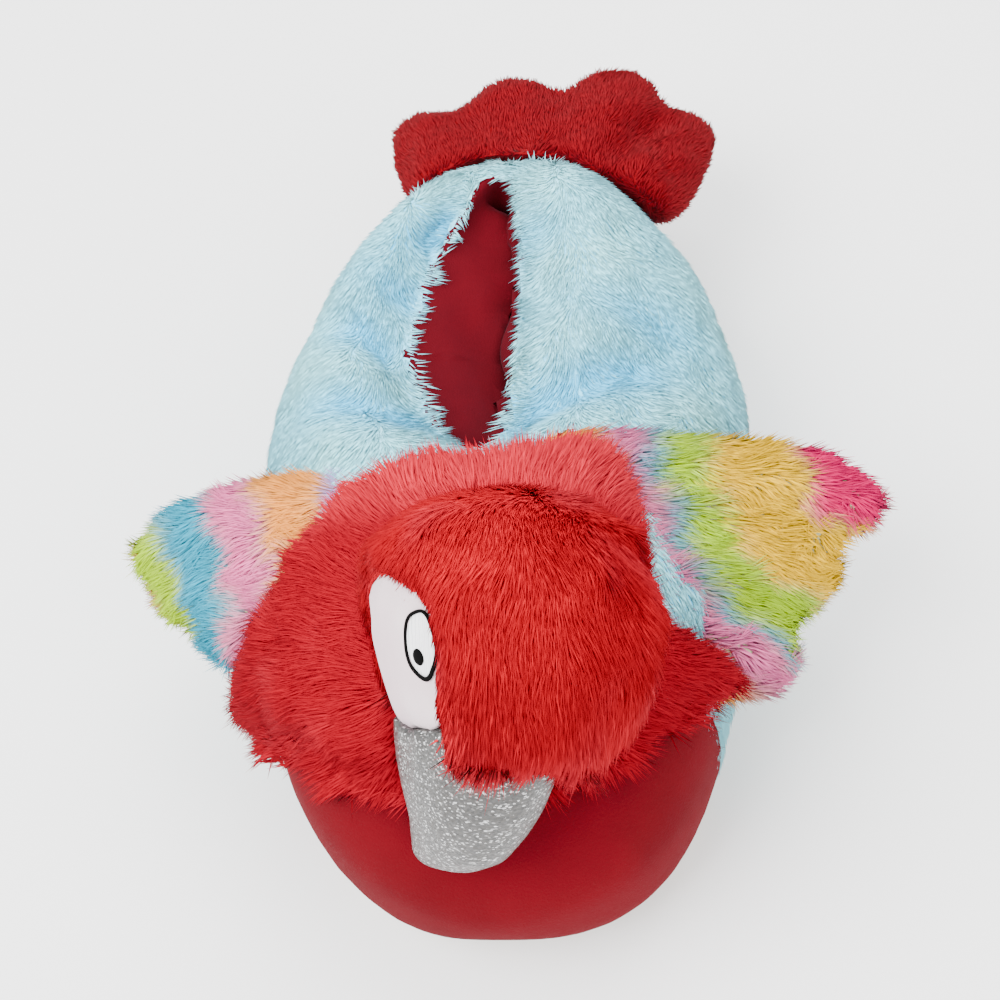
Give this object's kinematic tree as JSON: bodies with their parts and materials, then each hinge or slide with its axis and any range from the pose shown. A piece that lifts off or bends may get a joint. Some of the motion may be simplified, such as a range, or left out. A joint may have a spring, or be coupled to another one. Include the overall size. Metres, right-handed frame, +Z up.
{
  "type": "animal slipper",
  "caption": "Plush bird slipper for the right foot: stuffed body with a slit collar, a nodding head with a hooked beak, wings, a fan tail and a soft sole.",
  "frame": {"origin": "on the ground under the middle of the sole", "axes": "-Y towards the toe, +X towards the inner side of the foot, +Z up"},
  "size_m": [0.2297, 0.3096, 0.1728],
  "materials": {
    "sole_canvas": "matte woven canvas with a sunk dot print",
    "lining_velour": "matte short velour",
    "blue_plush": "matte short plush pile with a soft sheen",
    "crimson_velour": "matte short velour with a soft sheen",
    "red_pile": "long soft pile",
    "white_plush": "matte short plush",
    "silver_glitter": "glitter fabric with metal threads",
    "rainbow_pile": "long pile in bands of colour",
    "red_plush": "short plush pile"
  },
  "bodies": {
    "root": {"sole": "sole_canvas", "insole": "lining_velour", "upper": "blue_plush", "toe_panel": "crimson_velour", "chest": "red_pile", "head": "red_pile", "eye_patch_right": "white_plush", "eye_patch_left": "white_plush", "beak": "silver_glitter", "wing_right": "rainbow_pile", "wing_left": "rainbow_pile", "tail": "red_plush"}
  },
  "joints": []
}
